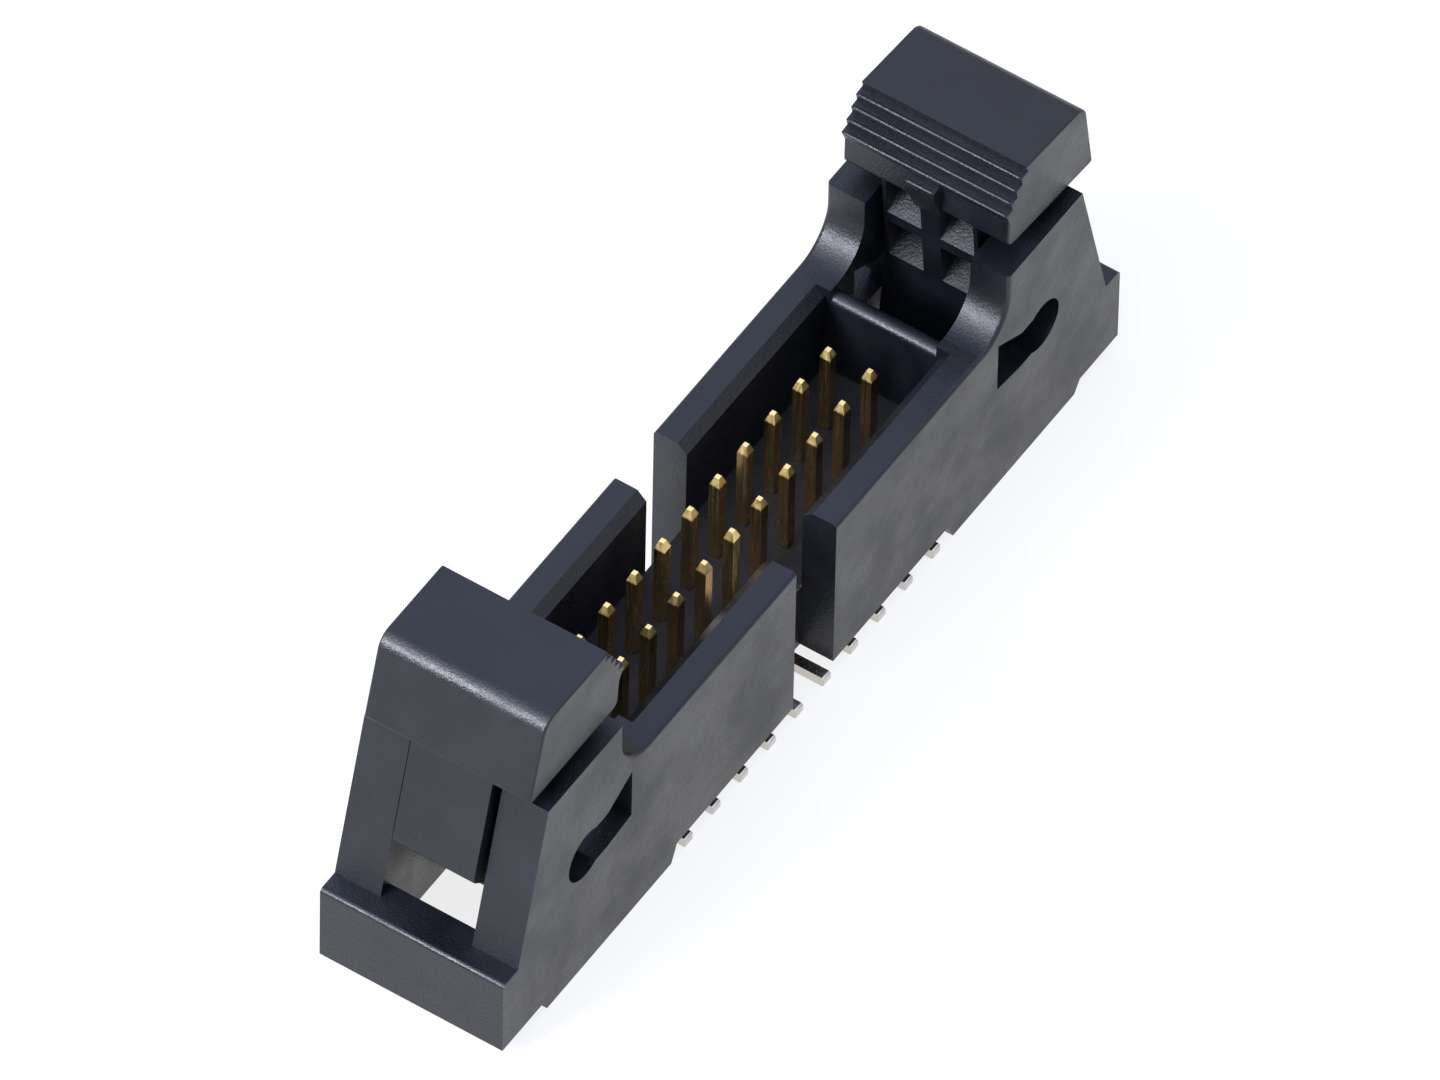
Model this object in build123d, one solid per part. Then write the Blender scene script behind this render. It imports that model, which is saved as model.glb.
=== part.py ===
from build123d import *
from math import radians, sin, tan
import os

# Ejector header for a circuit board: twenty square contacts in a moulded shroud with two end latches.
# The part lies along X, its rows run side by side in Y, and it stands on its feet at z = 0.
# Outlines are drawn once for the +X end, as the distance out from the middle and the height.

os.makedirs("parts", exist_ok=True)

# Contacts, in millimetres
pitch = 2.0
row_spacing = 2.0
contacts_per_row = 10
wire_width = 0.5
tip_below_wall_top = 0.1
tip_taper_length = 0.42
tip_flat_width = 0.22
tail_inside_wall = 0.03
bend_inner_radius = 0.25
tail_end_chamfer = 0.12
hole_clearance = 0.01

# Shroud round the contacts, with its length run out from the row
cavity_end_space = 2.5
cavity_side_space = 1.8
side_wall = 1.6
floor_top_height = 4.6
wall_above_floor = 4.9
lead_in = 0.45
cross_wall = 0.8
cross_wall_drop = 0.45
cross_wall_rounding = 0.36
key_slot_width = 2.9
wall_to_cheek_radius = 1.9
wall_edge_rounding = 0.2

# Underside, which steps up over the tails and at the end blocks
tail_relief_height = 0.92
tail_relief_beyond_row = 0.85
foot_step_run = 0.4
foot_to_end = 3.2
end_block_bottom = 0.6

# Ends that carry the latches, with the latch bay between the cheeks
latch_bay = 8.25
crossbar = 1.83
crossbar_top_height = 4.7
crossbar_rounding = 0.2
ledge = 1.05
cheek_above_wall = 3.15
cheek_lean = 2.05
cheek_from_cross_wall = 1.6
cheek_gap = 5.1
lip_gap = 4.4
lip_length = 1.55
bay_floor_below_cavity = 1.4
bay_floor_length = 3.1
bay_mouth_width = 5.9
bay_mouth_height = 0.8

# Keyhole that a latch snaps into, with a round seat for its trunnion
pivot_from_cross_wall = 4.2
pivot_above_floor = 2.45
trunnion_radius = 1.15
trunnion_clearance = 0.1
trunnion_recess = 0.95
keyhole_throat = 2.1
keyhole_throat_run = 1.5
keyhole_mouth_run = 3.25
keyhole_mouth_drop = 0.8
keyhole_mouth_rise = 1.95

# Latch head, measured from the pivot
head_over_cheek = 0.8
head_height = 4.05
head_side_inset = 0.42
head_outer_low = 3.5
head_outer_high = 2.4
head_top_rounding = 0.85
head_top_inner = 2.0
head_nose = 2.9
nose_height = 1.9
nose_rounding = 0.4
tooth_count = 4
tooth_run = 0.29
tooth_drop = 0.49
tooth_undercut = 0.13
tongue_width = 1.4
tongue_edge = 0.35
tongue_root_drop = 0.55
head_edge_rounding = 0.1

# Latch stem between the cheeks, measured from the pivot
stem_side_gap = 0.25
stem_inner_gap = 0.25
stem_proud = 0.45
stem_inner_face = 1.5
stem_inner_flare = 1.0
stem_flare_rise = 1.37
stem_wide_end = 0.5
stem_foot_rise = 1.0
stem_heel_out = 1.8
stem_heel_drop = 1.45
stem_toe_drop = 3.3
hub_rounding = 0.5
rib_width = 0.9
rim_width = 0.2
lower_recess_rise = 1.37
lower_recess_height = 2.25
lower_recess_depth = 1.6
lower_sill_rise = 1.05
upper_recess_height = 2.1
upper_recess_depth = 1.2
upper_sill_rise = 0.9
upper_recess_forward = 0.6
recess_under_head = 0.1
far_latch_lean = 6.0

# Places worked out from the sizes above
row_half_length = pitch * (contacts_per_row - 1) / 2
row_out = row_spacing / 2
cavity_half_length = row_half_length + cavity_end_space
cavity_half_width = row_out + cavity_side_space
cross_wall_outer = cavity_half_length + cross_wall
crossbar_inner = cross_wall_outer + latch_bay
half_length = crossbar_inner + crossbar
half_width = cavity_half_width + side_wall
wall_top_height = floor_top_height + wall_above_floor
tail_relief_half_length = row_half_length + tail_relief_beyond_row
foot_end = half_length - foot_to_end
cheek_top_height = wall_top_height + cheek_above_wall
cheek_foot = half_length - ledge
cheek_outer_end = cheek_foot - cheek_lean
cheek_inner_end = cross_wall_outer + cheek_from_cross_wall
lip_start = crossbar_inner - lip_length
bay_floor_height = floor_top_height - bay_floor_below_cavity
bay_floor_end = cross_wall_outer + bay_floor_length
pivot_out = cross_wall_outer + pivot_from_cross_wall
pivot_height = floor_top_height + pivot_above_floor
keyhole_seat_radius = trunnion_radius + trunnion_clearance
tip_height = wall_top_height - tip_below_wall_top
tail_out = half_width + tail_inside_wall
head_bottom = cheek_top_height + head_over_cheek
head_top = head_bottom + head_height
stem_wide_half_width = cheek_gap / 2 - stem_inner_gap
stem_narrow_half_width = lip_gap / 2 - stem_side_gap


def rounded_face(corners):
    """Flat face through corners given as (along X, height, radius), with a tangent arc at each radius."""
    points = [Vector(x, 0, z) for x, z, _ in corners]
    count = len(corners)
    arcs = []
    for i in range(count):
        here = points[i]
        radius = corners[i][2]
        if radius == 0:
            arcs.append((here, here, here))
            continue
        to_last = (points[i - 1] - here).normalized()
        to_next = (points[(i + 1) % count] - here).normalized()
        half_angle = radians(to_last.get_angle(to_next)) / 2
        middle = (to_last + to_next).normalized()
        cut_back = radius / tan(half_angle)
        depth = radius / sin(half_angle) - radius
        arcs.append((here + to_last * cut_back, here + middle * depth, here + to_next * cut_back))
    edges = []
    for i in range(count):
        start, crown, end = arcs[i]
        if corners[i][2] > 0:
            edges.append(ThreePointArc(start, crown, end))
        edges.append(Line(end, arcs[(i + 1) % count][0]))
    return make_face(Wire(edges))


def across(face, width):
    """Extrude a side outline evenly to both sides of the middle."""
    return extrude(face, amount=width / 2, dir=(0, 1, 0), both=True)


def block(x_range, y_range, z_range):
    """Box between two corners given as ranges along X, Y and Z."""
    low = Vector(x_range[0], y_range[0], z_range[0])
    high = Vector(x_range[1], y_range[1], z_range[1])
    size = high - low
    middle = low + size / 2
    return Pos(middle.X, middle.Y, middle.Z) * Box(size.X, size.Y, size.Z)


def both_ends(solid):
    """A solid of the +X end together with its mirror image at the -X end."""
    return solid + mirror(solid, about=Plane.YZ)


def slope_out(height):
    """Distance out to the slanted end face of the cheeks at a height."""
    rise = (height - crossbar_top_height) / (cheek_top_height - crossbar_top_height)
    return cheek_foot + rise * (cheek_outer_end - cheek_foot)


def shroud_side_face():
    """Side view of the whole shroud, with its feet, end blocks, cheeks and the curves up to them."""
    right = [
        (tail_relief_half_length, tail_relief_height, 0),
        (tail_relief_half_length + foot_step_run, 0, 0),
        (foot_end, 0, 0),
        (foot_end + foot_step_run, end_block_bottom, 0),
        (half_length, end_block_bottom, 0),
        (half_length, crossbar_top_height, crossbar_rounding),
        (cheek_foot, crossbar_top_height, 0),
        (cheek_outer_end, cheek_top_height, 0),
        (cheek_inner_end, cheek_top_height, 0),
        (cheek_inner_end, wall_top_height, wall_to_cheek_radius),
    ]
    left = [(-x, z, radius) for x, z, radius in reversed(right)]
    return rounded_face(right + left)


def cavity():
    """Space for the plug, with a lead-in chamfer along the top of both long walls."""
    low = floor_top_height
    high = cheek_top_height + 1
    hollow = block(
        (-cavity_half_length, cavity_half_length),
        (-cavity_half_width, cavity_half_width),
        (low, high),
    )
    chamfer_start = wall_top_height - lead_in
    flare = Plane.YZ * make_face(
        Polyline(
            (-cavity_half_width, chamfer_start),
            (-cavity_half_width - lead_in, wall_top_height),
            (-cavity_half_width - lead_in, high),
            (cavity_half_width + lead_in, high),
            (cavity_half_width + lead_in, wall_top_height),
            (cavity_half_width, chamfer_start),
            close=True,
        )
    )
    return hollow + extrude(flare, amount=cavity_half_length, both=True)


def cross_wall_relief():
    """Space over the rounded cross wall between the cavity and a latch pocket."""
    top = wall_top_height - cross_wall_drop
    outside = 0.6
    high = cheek_top_height + 1
    corners = [
        (cavity_half_length - outside, top - cross_wall_rounding, 0),
        (cavity_half_length, top - cross_wall_rounding, 0),
        (cavity_half_length, top, 0),
        (cross_wall_outer, top, 0),
        (cross_wall_outer, top - cross_wall_rounding, 0),
        (cross_wall_outer + outside, top - cross_wall_rounding, 0),
        (cross_wall_outer + outside, high, 0),
        (cavity_half_length - outside, high, 0),
    ]
    relief = across(rounded_face(corners), cheek_gap)
    crest = [
        (cavity_half_length, floor_top_height, 0),
        (cavity_half_length, top, cross_wall_rounding),
        (cross_wall_outer, top, cross_wall_rounding),
        (cross_wall_outer, floor_top_height, 0),
    ]
    band = block(
        (cavity_half_length, cross_wall_outer),
        (-cheek_gap / 2, cheek_gap / 2),
        (top - cross_wall_rounding, top),
    )
    return relief + (band - across(rounded_face(crest), cheek_gap))


def latch_pocket():
    """Space between the cheeks, open at the bottom beyond its floor and narrowed by lips at the end."""
    high = cheek_top_height + 1
    half_gap = cheek_gap / 2
    half_lip = lip_gap / 2
    space = block((cross_wall_outer, lip_start), (-half_gap, half_gap), (bay_floor_height, high))
    space += block((bay_floor_end, lip_start), (-half_gap, half_gap), (-1, high))
    space += block(
        (bay_floor_end, crossbar_inner),
        (-bay_mouth_width / 2, bay_mouth_width / 2),
        (-1, bay_mouth_height),
    )
    space += block((lip_start, crossbar_inner), (-half_lip, half_lip), (-1, high))
    space += block((crossbar_inner, half_length + 1), (-half_lip, half_lip), (crossbar_top_height, high))
    return space


def keyhole():
    """Round seat with a throat and a flared mouth, cut through both cheeks."""
    half_throat = keyhole_throat / 2
    mouth = pivot_out - keyhole_mouth_run
    throat = pivot_out - keyhole_throat_run
    corners = [
        (mouth, pivot_height - keyhole_mouth_drop, 0),
        (mouth, pivot_height + keyhole_mouth_rise, 0),
        (throat, pivot_height + half_throat, 0),
        (pivot_out, pivot_height + half_throat, 0),
        (pivot_out, pivot_height - half_throat, 0),
        (throat, pivot_height - half_throat, 0),
    ]
    seat = Pos(pivot_out, 0, pivot_height) * Rot(90, 0, 0) * Cylinder(keyhole_seat_radius, 3 * half_width)
    return across(rounded_face(corners), 3 * half_width) + seat


def contact_places():
    """Places of the contacts along X, the same in both rows."""
    return [pitch * i - row_half_length for i in range(contacts_per_row)]


def side_outline_edges(solid, half, lowest):
    """Edges round both side faces of a solid that lie wholly at or above a height."""
    found = []
    for edge in solid.edges():
        box = edge.bounding_box()
        on_side = min(abs(box.min.Y), abs(box.max.Y)) > half - 0.001 and box.size.Y < 0.001
        if on_side and box.min.Z > lowest - 0.001:
            found.append(edge)
    return found


def reach_of(edge):
    """Furthest distance of an edge from the middle along X."""
    box = edge.bounding_box()
    return max(abs(box.min.X), abs(box.max.X))


def make_housing():
    """Shroud, cheeks and end blocks, moulded in one piece."""
    housing = across(shroud_side_face(), 2 * half_width)
    wall_top = cheek_inner_end + 0.01
    outline = side_outline_edges(housing, half_width, crossbar_top_height)
    housing = fillet([edge for edge in outline if reach_of(edge) < wall_top], wall_edge_rounding)
    housing -= cavity()
    housing -= both_ends(cross_wall_relief())
    housing -= both_ends(latch_pocket())
    housing -= both_ends(keyhole())
    for side in (-1, 1):
        inner = side * cavity_half_width
        outer = side * (half_width + 1)
        housing -= block(
            (-key_slot_width / 2, key_slot_width / 2),
            (min(inner, outer), max(inner, outer)),
            (-1, wall_top_height + 1),
        )
    hole = wire_width + 2 * hole_clearance
    for x in contact_places():
        for side in (-1, 1):
            housing -= block(
                (x - hole / 2, x + hole / 2),
                (side * row_out - hole / 2, side * row_out + hole / 2),
                (-1, floor_top_height + 1),
            )
    return housing


def make_contact(x, side):
    """One square wire: pointed at the top, bent outward below the floor, and flat on the board."""
    half_wire = wire_width / 2
    inner = row_out - half_wire
    outer = row_out + half_wire
    bend_outer_radius = bend_inner_radius + wire_width
    shaft_top = tip_height - tip_taper_length
    corners = [
        (inner, 0, bend_outer_radius),
        (inner, shaft_top, 0),
        (outer, shaft_top, 0),
        (outer, wire_width, bend_inner_radius),
        (tail_out, wire_width, tail_end_chamfer),
        (tail_out, 0, tail_end_chamfer),
    ]
    wire = across(rounded_face(corners), wire_width)
    square = Plane(origin=(row_out, 0, shaft_top)) * Rectangle(wire_width, wire_width)
    tip_flat = Plane(origin=(row_out, 0, tip_height)) * Rectangle(tip_flat_width, tip_flat_width)
    contact = wire + loft([square, tip_flat])
    return Pos(x, 0, 0) * Rot(0, 0, 90 * side) * contact


def latch_head():
    """Grip of the latch, with a toothed slope down to its nose."""
    top_inner = pivot_out - head_top_inner
    nose = pivot_out - head_nose
    corners = [
        (pivot_out + head_outer_low, head_bottom, 0.15),
        (pivot_out + head_outer_high, head_top, head_top_rounding),
        (top_inner, head_top, 0),
    ]
    for i in range(tooth_count):
        step_out = top_inner - tooth_run * i
        step_height = head_top - tooth_drop * i
        corners.append((step_out + tooth_undercut, step_height - tooth_drop * 0.8, 0))
        corners.append((step_out - tooth_run, step_height - tooth_drop, 0))
    corners.append((nose, head_bottom + nose_height - 0.3, 0))
    corners.append((nose + 0.15, head_bottom, nose_rounding))
    half_head = half_width - head_side_inset
    head = across(rounded_face(corners), 2 * half_head)
    grip_edges = []
    for edge in side_outline_edges(head, half_head, head_bottom):
        if edge.bounding_box().min.X > top_inner - 0.001:
            grip_edges.append(edge)
    return fillet(grip_edges, head_edge_rounding)


def latch_tongue():
    """Middle of the nose, which carries one more tooth and tapers down to the stem."""
    root_out = pivot_out - head_top_inner - tooth_run * tooth_count
    root_height = head_top - tooth_drop * tooth_count
    tip_out = root_out - tooth_run
    tip_height_here = root_height - tooth_drop
    stem_face = pivot_out - stem_inner_face - stem_inner_flare
    behind = 0.6
    corners = [
        (root_out, root_height, 0),
        (root_out + tooth_undercut, root_height - tooth_drop * 0.8, 0),
        (tip_out, tip_height_here, 0),
        (tip_out + 0.05, tip_height_here - tongue_edge, 0),
        (stem_face, head_bottom - tongue_root_drop, 0),
        (stem_face + behind, head_bottom - tongue_root_drop, 0),
        (stem_face + behind, root_height, 0),
    ]
    return across(rounded_face(corners), tongue_width)


def latch_stem():
    """Lever between the cheeks, narrowed where it passes between the lips."""
    overlap = 0.3
    top = head_bottom + overlap
    inner = pivot_out - stem_inner_face
    foot_height = pivot_height + stem_foot_rise
    corners = [
        (inner, pivot_height - stem_toe_drop, hub_rounding),
        (inner, pivot_height + stem_flare_rise, 0),
        (inner - stem_inner_flare, head_bottom, 0),
        (inner - stem_inner_flare, top, 0),
        (slope_out(top) + stem_proud, top, 0),
        (slope_out(foot_height) + stem_proud, foot_height, 0.25),
        (pivot_out + stem_heel_out, pivot_height - stem_heel_drop, hub_rounding),
    ]
    stem = across(rounded_face(corners), 2 * stem_wide_half_width)
    for side in (-1, 1):
        near = side * stem_narrow_half_width
        far = side * (stem_wide_half_width + 1)
        stem -= block(
            (pivot_out + stem_wide_end, half_length),
            (min(near, far), max(near, far)),
            (0, top + 1),
        )
    return stem


def stem_recess(side, inner, low, height, depth, sill_rise):
    """Hollow in the inner face of the stem, on one side of its middle rib, with a sloping sill."""
    outside = 1.0
    corners = [
        (inner - outside, low - sill_rise * outside / depth, 0),
        (inner - outside, low + height, 0),
        (inner + depth, low + height, 0.2),
        (inner + depth, low + sill_rise, 0.2),
    ]
    near = rib_width / 2
    far = stem_wide_half_width - rim_width
    hollow = across(rounded_face(corners), far - near)
    return Pos(0, side * (near + far) / 2, 0) * hollow


def make_closed_latch():
    """Latch of the +X end in its closed place, one moulding with its two trunnions."""
    latch = latch_head() + latch_stem()
    trunnions = Cylinder(trunnion_radius, 2 * (half_width - trunnion_recess))
    latch += Pos(pivot_out, 0, pivot_height) * Rot(90, 0, 0) * trunnions
    lower = pivot_height + lower_recess_rise
    upper = head_bottom - recess_under_head - upper_recess_height
    face = pivot_out - stem_inner_face
    brow = face - upper_recess_forward
    for side in (-1, 1):
        latch -= stem_recess(side, face, lower, lower_recess_height, lower_recess_depth, lower_sill_rise)
        latch -= stem_recess(side, brow, upper, upper_recess_height, upper_recess_depth, upper_sill_rise)
    return latch + latch_tongue()


closed_latch = make_closed_latch()
far_pivot = Axis((pivot_out, 0, pivot_height), (0, 1, 0))

parts = {
    "housing": make_housing(),
    "near_latch": mirror(closed_latch, about=Plane.YZ),
    "far_latch": closed_latch.rotate(far_pivot, far_latch_lean),
}
number = 0
for side in (-1, 1):
    for x in contact_places():
        number += 1
        parts[f"contact_{number:02d}"] = make_contact(x, side)

for name, solid in parts.items():
    export_step(solid, f"parts/{name}.step")
    print(name, round(solid.volume, 3))
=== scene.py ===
"""Ejector header for a circuit board: moulded black shroud and latches, gold pins with tin tails."""
import math

import bpy
import numpy as np
from mathutils import Matrix, Vector


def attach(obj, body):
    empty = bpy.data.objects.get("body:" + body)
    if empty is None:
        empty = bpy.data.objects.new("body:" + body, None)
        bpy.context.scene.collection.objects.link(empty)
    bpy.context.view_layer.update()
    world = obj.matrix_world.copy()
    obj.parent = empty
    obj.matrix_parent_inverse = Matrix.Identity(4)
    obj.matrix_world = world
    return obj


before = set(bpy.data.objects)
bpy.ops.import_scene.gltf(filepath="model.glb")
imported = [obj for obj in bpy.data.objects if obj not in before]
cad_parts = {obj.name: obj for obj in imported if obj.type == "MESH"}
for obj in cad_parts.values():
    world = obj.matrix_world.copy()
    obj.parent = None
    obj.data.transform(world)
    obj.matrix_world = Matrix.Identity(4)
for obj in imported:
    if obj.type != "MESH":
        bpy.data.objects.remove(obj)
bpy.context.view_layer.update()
MM = 0.001

# Camera: the photograph's angle in degrees, and its distance and the origin's place in millimetres and pixels
CAMERA_AZIMUTH = -57.34
CAMERA_ELEVATION = 51.06
CAMERA_ROLL = 1.28
CAMERA_DISTANCE = 1250.0
PIXELS_PER_MM = 24.844
ORIGIN_PIXEL = (721.9, 641.5)
ORIGIN_HEIGHT = 0.6
SENSOR_WIDTH = 36.0
PHOTO_SIZE = (1440, 1080)

# Nearest and farthest that the camera sees, in metres
CAMERA_CLIP = (0.01, 10.0)

# Teeth of a latch's grip, in millimetres outward from the part's middle and up from the board
PIVOT_OUT = 16.5
PIVOT_HEIGHT = 7.05
FIRST_TOOTH_OUT = 14.5
HEAD_TOP = 17.5
TOOTH_COUNT = 4
TOOTH_RUN = 0.29
TOOTH_DROP = 0.49

# Which end each latch is at, and how far it leans outward, in degrees
NEAR_SIDE, NEAR_LEAN = -1, 0.0
FAR_SIDE, FAR_LEAN = 1, 6.0

# Rounded lips on those teeth and on the tongue, in millimetres, and the points on each lip's end and round it
LIP_RADIUS = 0.09
LIP_INSET = (0.070, -0.039)
LIP_HALF_LENGTH = 3.93
TONGUE_HALF_LENGTH = 0.68
LIP_END_POINTS = 5
LIP_ROUND_POINTS = 20

# Moulded plastic: each pattern's cycles per metre, detail and roughness, and the relief in metres
GRAIN = (9000.0, 3.0, 0.6)
WAVES = (900.0, 2.0, 0.5)
MOTTLE = (350.0, 4.0, 0.5)
GRAIN_TO_WAVES = 1.1
GRAIN_STRENGTH = 1.0
GRAIN_RELIEF = 0.00002

# Moulded plastic: the mottle's range, and the colour and roughness at its two ends
MOTTLE_RANGE = (0.35, 0.65)
PLASTIC_COLOURS = ((0.0035, 0.0042, 0.0065), (0.0055, 0.0066, 0.0100))
PLASTIC_ROUGHNESS = (0.27, 0.43)
PLASTIC_IOR = 1.46

# Matt floor of the cavity, in metres: half its length, half its width and its height above the board
CAVITY_FLOOR = (0.01145, 0.00275, 0.0047)
MATT_ROUGHNESS_GAIN = 0.4

# Heights above the board, in millimetres: where a pin's gold and its coined tip start, and its top
PLATING_FROM = 2.2
COINED_FROM = 8.95
COINED_FADE = 0.1
PIN_TOP = 9.4

# Wire colours, each at its share of the way from the plating's start to the top: tin, gold, and on the coined
# tip a brighter gold that is a painted highlight
WIRE_COLOURS_AND_TIP_HIGHLIGHT = (
    (0.0, (0.60, 0.56, 0.50)),
    (0.11, (0.88, 0.58, 0.25)),
    (0.93, (0.90, 0.60, 0.25)),
    # Coined tip: brighter, warmer gold that paints the tips' highlight into their colour
    (0.95, (0.98, 0.77, 0.30)),
)

# Lines drawn along a wire: cycles per metre, detail and roughness of the pattern, and how it is stretched
LINES = (9000.0, 2.0, 0.5)
LINE_STRETCH = (1.0, 1.0, 0.04)

# Wire finish: roughness over the pattern's range, what the coined tip adds, and the lines' relief in metres
LINE_RANGE = (0.3, 0.7)
WIRE_ROUGHNESS = (0.14, 0.30)
COINED_ROUGHNESS_GAIN = 0.2
LINE_STRENGTH = 0.35
LINE_RELIEF = 0.00001

# Rounding of a wire's edges, in metres, with the merge distance, its segments and its least angle in degrees
WIRE_BEVEL = 0.00005
WELD_DISTANCE = 0.000001
BEVEL_SEGMENTS = 3
BEVEL_ANGLE = 30

# Floor, large enough to fill every view: half its side in metres, its finish and its share of plain white
FLOOR_HALF = 3.0
FLOOR_COLOUR = (0.9, 0.9, 0.9)
FLOOR_ROUGHNESS = 0.7
FLOOR_GLOW = 0.82

# Lights: name, place and size in metres, power in watts and colour
WHITE = (1.0, 1.0, 1.0)
LIGHTS = (
    ("high", (-0.30, 0.10, 0.60), (0.40, 0.40), 1.8, WHITE),
    ("left", (-0.39, 0.17, 0.26), (0.16, 0.16), 3.4, (0.93, 0.97, 1.10)),
    ("right", (0.10, -0.45, 0.25), (0.30, 0.20), 0.1, WHITE),
)
LIGHT_AIM = (0.0, 0.0, 0.006)

# Surroundings, by the sine of the elevation: the span that the strength rises over, and the tint's stops
SKY_RISE = (0.1, 0.8)
SKY_STRENGTH = (0.45, 1.2)
SKY_TINT = ((0.2, WHITE), (0.8, (0.85, 0.97, 1.38)))


def new_material(name):
    """Empty node material with its shader and output."""
    material = bpy.data.materials.new(name)
    material.use_nodes = True
    nodes = material.node_tree.nodes
    nodes.clear()
    shader = nodes.new("ShaderNodeBsdfPrincipled")
    output = nodes.new("ShaderNodeOutputMaterial")
    material.node_tree.links.new(shader.outputs["BSDF"], output.inputs["Surface"])
    return material, nodes, material.node_tree.links, shader


def noise(nodes, links, vector, pattern):
    """Noise texture on a vector, with a pattern of cycles per metre, detail and roughness."""
    node = nodes.new("ShaderNodeTexNoise")
    for entry, number in zip(("Scale", "Detail", "Roughness"), pattern):
        node.inputs[entry].default_value = number
    links.new(vector, node.inputs["Vector"])
    return node.outputs["Fac"]


def ramp(nodes, links, value, stops):
    """Colour ramp on a value, with stops as (place, colour)."""
    node = nodes.new("ShaderNodeValToRGB")
    while len(node.color_ramp.elements) > 1:
        node.color_ramp.elements.remove(node.color_ramp.elements[-1])
    for i, (place, colour) in enumerate(stops):
        stop = node.color_ramp.elements[0] if i == 0 else node.color_ramp.elements.new(place)
        stop.position = place
        stop.color = (*colour, 1.0)
    links.new(value, node.inputs["Fac"])
    return node.outputs["Color"]


def maths(nodes, links, operation, *terms):
    """Arithmetic on terms that are each an output of another node or a plain number."""
    node = nodes.new("ShaderNodeMath")
    node.operation = operation
    for term, entry in zip(terms, node.inputs):
        if isinstance(term, float):
            entry.default_value = term
        else:
            links.new(term, entry)
    return node.outputs["Value"]


def rescale(nodes, links, value, source, target, interpolation="LINEAR"):
    """Value taken from one range to another, and held at its ends."""
    node = nodes.new("ShaderNodeMapRange")
    node.interpolation_type = interpolation
    node.inputs["From Min"].default_value, node.inputs["From Max"].default_value = source
    node.inputs["To Min"].default_value, node.inputs["To Max"].default_value = target
    links.new(value, node.inputs["Value"])
    return node.outputs["Result"]


def relief(nodes, links, shader, height, strength, distance):
    """Bump of a height pattern on a shader, with its distance in metres."""
    bump = nodes.new("ShaderNodeBump")
    bump.inputs["Strength"].default_value = strength
    bump.inputs["Distance"].default_value = distance
    links.new(height, bump.inputs["Height"])
    links.new(bump.outputs["Normal"], shader.inputs["Normal"])


def axes(nodes, links, vector):
    """The three parts of a vector, by axis."""
    split = nodes.new("ShaderNodeSeparateXYZ")
    links.new(vector, split.inputs["Vector"])
    return split.outputs


def moulded_grain():
    """Shared group: height and mottle of a glass-filled moulding, a fine grain over broad soft waves."""
    group = bpy.data.node_groups.new("moulded_grain", "ShaderNodeTree")
    group.interface.new_socket("Vector", in_out="INPUT", socket_type="NodeSocketVector")
    group.interface.new_socket("Height", in_out="OUTPUT", socket_type="NodeSocketFloat")
    group.interface.new_socket("Mottle", in_out="OUTPUT", socket_type="NodeSocketFloat")
    nodes, links = group.nodes, group.links
    place = nodes.new("NodeGroupInput").outputs["Vector"]
    end = nodes.new("NodeGroupOutput")
    fine = noise(nodes, links, place, GRAIN)
    broad = noise(nodes, links, place, WAVES)
    patches = noise(nodes, links, place, MOTTLE)
    height = maths(nodes, links, "MULTIPLY_ADD", fine, GRAIN_TO_WAVES, broad)
    links.new(height, end.inputs["Height"])
    links.new(patches, end.inputs["Mottle"])
    return group


def inside_box(nodes, links, vector, limits):
    """Mask that is 1 where each part of a vector is smaller than its limit, whatever its sign."""
    mask = None
    for part, limit in zip(axes(nodes, links, vector), limits):
        size = maths(nodes, links, "ABSOLUTE", part)
        below = maths(nodes, links, "LESS_THAN", size, limit)
        mask = below if mask is None else maths(nodes, links, "MULTIPLY", mask, below)
    return mask


def black_plastic(name, grain, matt_box=None):
    """Dark blue-grey moulded plastic with a satin skin, a slight mottle and a matt area within any box."""
    material, nodes, links, shader = new_material(name)
    place = nodes.new("ShaderNodeTexCoord").outputs["Object"]
    skin = nodes.new("ShaderNodeGroup")
    skin.node_tree = grain
    links.new(place, skin.inputs["Vector"])
    mottle = skin.outputs["Mottle"]
    colour = ramp(nodes, links, mottle, zip(MOTTLE_RANGE, PLASTIC_COLOURS))
    links.new(colour, shader.inputs["Base Color"])
    shader.inputs["IOR"].default_value = PLASTIC_IOR
    rough = rescale(nodes, links, mottle, MOTTLE_RANGE, PLASTIC_ROUGHNESS)
    if matt_box:
        mask = inside_box(nodes, links, place, matt_box)
        rough = maths(nodes, links, "MULTIPLY_ADD", mask, MATT_ROUGHNESS_GAIN, rough)
    links.new(rough, shader.inputs["Roughness"])
    relief(nodes, links, shader, skin.outputs["Height"], GRAIN_STRENGTH, GRAIN_RELIEF)
    return material


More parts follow.
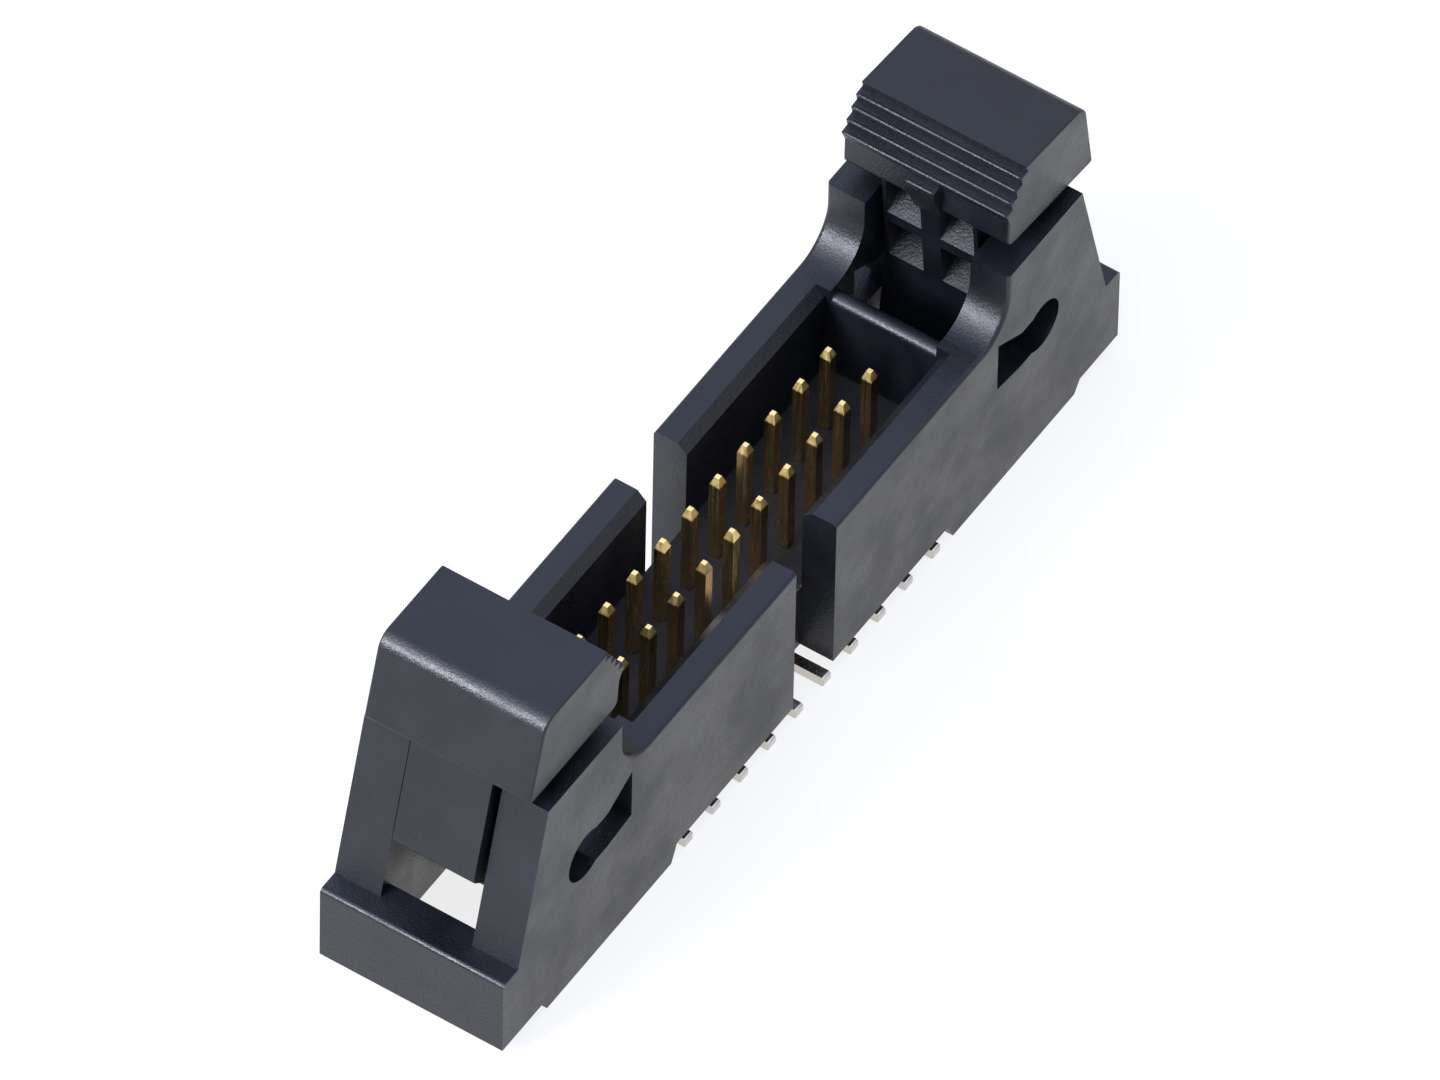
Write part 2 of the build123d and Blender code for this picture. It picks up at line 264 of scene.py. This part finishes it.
def plated_wire(name):
    """Gold over the upper part of a pin with a painted highlight of brighter gold on its tip, warm tin on its
    tail, and fine lines drawn along the wire.
    """
    material, nodes, links, shader = new_material(name)
    place = nodes.new("ShaderNodeTexCoord").outputs["Object"]
    height = axes(nodes, links, place)["Z"]
    blend = rescale(nodes, links, height, (PLATING_FROM * MM, PIN_TOP * MM), (0.0, 1.0))
    links.new(ramp(nodes, links, blend, WIRE_COLOURS_AND_TIP_HIGHLIGHT), shader.inputs["Base Color"])
    shader.inputs["Metallic"].default_value = 1.0
    stretch = nodes.new("ShaderNodeMapping")
    stretch.inputs["Scale"].default_value = LINE_STRETCH
    links.new(place, stretch.inputs["Vector"])
    lines = noise(nodes, links, stretch.outputs["Vector"], LINES)
    drawn = rescale(nodes, links, lines, LINE_RANGE, WIRE_ROUGHNESS)
    coined_span = (COINED_FROM * MM, (COINED_FROM + COINED_FADE) * MM)
    coined = rescale(nodes, links, height, coined_span, (0.0, COINED_ROUGHNESS_GAIN))
    links.new(maths(nodes, links, "ADD", drawn, coined), shader.inputs["Roughness"])
    relief(nodes, links, shader, lines, LINE_STRENGTH, LINE_RELIEF)
    return material


def studio_floor(name):
    """Pale floor that keeps a soft shadow: part of what the camera, gloss and glass see is plain white."""
    material, nodes, links, shader = new_material(name)
    shader.inputs["Base Color"].default_value = (*FLOOR_COLOUR, 1.0)
    shader.inputs["Roughness"].default_value = FLOOR_ROUGHNESS
    path = nodes.new("ShaderNodeLightPath").outputs
    seen = maths(nodes, links, "MAXIMUM", path["Is Camera Ray"], path["Is Glossy Ray"])
    through = maths(nodes, links, "MAXIMUM", seen, path["Is Transmission Ray"])
    share = maths(nodes, links, "MULTIPLY", through, FLOOR_GLOW)
    white = nodes.new("ShaderNodeEmission")
    white.inputs["Color"].default_value = (*WHITE, 1.0)
    mix = nodes.new("ShaderNodeMixShader")
    links.new(share, mix.inputs["Fac"])
    links.new(shader.outputs["BSDF"], mix.inputs[1])
    links.new(white.outputs["Emission"], mix.inputs[2])
    output = next(node for node in nodes if node.type == "OUTPUT_MATERIAL")
    links.new(mix.outputs["Shader"], output.inputs["Surface"])
    return material


def dress(node, material):
    """Gives every material slot of a CAD node the same material."""
    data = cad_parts[node].data
    data.materials.clear()
    data.materials.append(material)


def fine_bevel(node):
    """Rounds the sharp edges of a wire, after its loose triangles are joined."""
    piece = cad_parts[node]
    weld = piece.modifiers.new("join", "WELD")
    weld.merge_threshold = WELD_DISTANCE
    bevel = piece.modifiers.new("edge", "BEVEL")
    bevel.width = WIRE_BEVEL
    bevel.segments = BEVEL_SEGMENTS
    bevel.limit_method = "ANGLE"
    bevel.harden_normals = True
    bevel.angle_limit = math.radians(BEVEL_ANGLE)


def capsule(half_length, radius, out, height):
    """Bar along Y with round ends: ring points x = out + r s cos a, y, z = height + r s sin a.

    s is 1 up to one radius from each end, and sqrt(1 - e^2) over that radius, where e runs from 0 to 1.
    """
    quarter = np.linspace(0.0, math.pi / 2, LIP_END_POINTS)
    end = np.stack([half_length - radius + radius * np.sin(quarter), np.cos(quarter)], axis=1)
    rings = np.concatenate([end[::-1] * [-1.0, 1.0], end])[1:-1]
    turn = np.linspace(0.0, 2 * math.pi, LIP_ROUND_POINTS, endpoint=False)
    y, share = rings[:, :1], rings[:, 1:] * radius
    grid = np.stack([out + share * np.cos(turn), y + 0.0 * turn, height + share * np.sin(turn)], axis=2)
    points = [(out, -half_length, height), *map(tuple, grid.reshape(-1, 3)), (out, half_length, height)]
    last = len(points) - 1
    count, around = grid.shape[:2]
    faces = []
    for j in range(around):
        k = (j + 1) % around
        faces.append((0, 1 + j, 1 + k))
        faces.append((last, last - around + k, last - around + j))
        for i in range(count - 1):
            low, high = 1 + i * around, 1 + (i + 1) * around
            faces.append((low + j, high + j, high + k, low + k))
    return np.array(points), faces


def tooth_lips(name, latch, side, lean, material):
    """Rounded lips on the teeth of a grip, one capsule on each and a short one on the tongue.

    Each point turns about the pivot by the lean, outward, and x takes the sign of the latch's end.
    """
    points, faces = [], []
    for i in range(TOOTH_COUNT + 1):
        out = FIRST_TOOTH_OUT - TOOTH_RUN * (i + 1) + LIP_INSET[0]
        height = HEAD_TOP - TOOTH_DROP * (i + 1) + LIP_INSET[1]
        half_length = LIP_HALF_LENGTH if i < TOOTH_COUNT else TONGUE_HALF_LENGTH
        bar, bar_faces = capsule(half_length, LIP_RADIUS, out, height)
        start = sum(len(part) for part in points)
        faces += [tuple(start + corner for corner in face) for face in bar_faces]
        points.append(bar)
    place = np.concatenate(points) - [PIVOT_OUT, 0.0, PIVOT_HEIGHT]
    angle = math.radians(lean)
    out = place[:, 0] * math.cos(angle) + place[:, 2] * math.sin(angle) + PIVOT_OUT
    height = place[:, 2] * math.cos(angle) - place[:, 0] * math.sin(angle) + PIVOT_HEIGHT
    place = np.stack([side * out, place[:, 1], height], axis=1) * MM
    if side < 0:
        faces = [face[::-1] for face in faces]
    mesh = bpy.data.meshes.new(name)
    mesh.from_pydata(place.tolist(), [], faces)
    mesh.shade_smooth()
    mesh.materials.append(material)
    piece = bpy.data.objects.new(name, mesh)
    bpy.context.collection.objects.link(piece)
    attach(piece, latch)


def area_light(name, place, size, power, colour):
    """Soft rectangular light at a place in metres, turned towards the part."""
    data = bpy.data.lights.new(name, "AREA")
    data.shape = "RECTANGLE"
    data.size, data.size_y = size
    data.energy = power
    data.color = colour
    light = bpy.data.objects.new(name, data)
    light.location = place
    light.rotation_euler = (Vector(LIGHT_AIM) - Vector(place)).to_track_quat("-Z", "Y").to_euler()
    bpy.context.collection.objects.link(light)


def studio_world():
    """Pale surroundings that fade from white at the horizon to a brighter, cooler zenith."""
    world = bpy.data.worlds.new("studio")
    world.use_nodes = True
    nodes, links = world.node_tree.nodes, world.node_tree.links
    height = axes(nodes, links, nodes.new("ShaderNodeTexCoord").outputs["Generated"])["Z"]
    strength = rescale(nodes, links, height, SKY_RISE, SKY_STRENGTH, "SMOOTHSTEP")
    links.new(strength, nodes["Background"].inputs["Strength"])
    links.new(ramp(nodes, links, height, SKY_TINT), nodes["Background"].inputs["Color"])
    bpy.context.scene.world = world


def photo_camera():
    """Camera that puts the frame's origin on its pixel of the photograph, at the measured angle."""
    azimuth, elevation = math.radians(CAMERA_AZIMUTH), math.radians(CAMERA_ELEVATION)
    back = Vector(
        (
            math.sin(azimuth) * math.cos(elevation),
            -math.cos(azimuth) * math.cos(elevation),
            math.sin(elevation),
        )
    )
    level = Vector((math.cos(azimuth), math.sin(azimuth), 0.0))
    above = back.cross(level)
    roll = math.radians(CAMERA_ROLL)
    right = level * math.cos(roll) + above * math.sin(roll)
    up = above * math.cos(roll) - level * math.sin(roll)
    data = bpy.data.cameras.new("camera")
    data.sensor_width = SENSOR_WIDTH
    data.lens = PIXELS_PER_MM * CAMERA_DISTANCE * SENSOR_WIDTH / PHOTO_SIZE[0]
    data.shift_x = (PHOTO_SIZE[0] / 2 - ORIGIN_PIXEL[0]) / PHOTO_SIZE[0]
    data.shift_y = (ORIGIN_PIXEL[1] - PHOTO_SIZE[1] / 2) / PHOTO_SIZE[0]
    data.clip_start, data.clip_end = CAMERA_CLIP
    camera = bpy.data.objects.new("camera", data)
    turn = Matrix((right, up, back)).transposed().to_4x4()
    origin = Vector((0.0, 0.0, ORIGIN_HEIGHT * MM))
    camera.matrix_world = Matrix.Translation(origin + back * CAMERA_DISTANCE * MM) @ turn
    bpy.context.collection.objects.link(camera)
    bpy.context.scene.camera = camera


# Shroud, latches and the lips on their teeth
grain = moulded_grain()
latch_plastic = black_plastic("black_plastic_latch", grain)
dress("housing", black_plastic("black_plastic", grain, CAVITY_FLOOR))
dress("near_latch", latch_plastic)
dress("far_latch", latch_plastic)
tooth_lips("near_tooth_lips", "near_latch", NEAR_SIDE, NEAR_LEAN, latch_plastic)
tooth_lips("far_tooth_lips", "far_latch", FAR_SIDE, FAR_LEAN, latch_plastic)

# Contacts
plating = plated_wire("plated_wire")
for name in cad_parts:
    if name.startswith("contact_"):
        dress(name, plating)
        fine_bevel(name)

# Floor
floor_mesh = bpy.data.meshes.new("floor")
floor_mesh.from_pydata(
    [(x * FLOOR_HALF, y * FLOOR_HALF, 0.0) for x, y in ((-1, -1), (1, -1), (1, 1), (-1, 1))],
    [],
    [(0, 1, 2, 3)],
)
floor = bpy.data.objects.new("floor", floor_mesh)
floor_mesh.materials.append(studio_floor("floor"))
bpy.context.collection.objects.link(floor)

# Light and camera
for light in LIGHTS:
    area_light(*light)
studio_world()
bpy.context.scene.view_settings.view_transform = "Standard"
photo_camera()
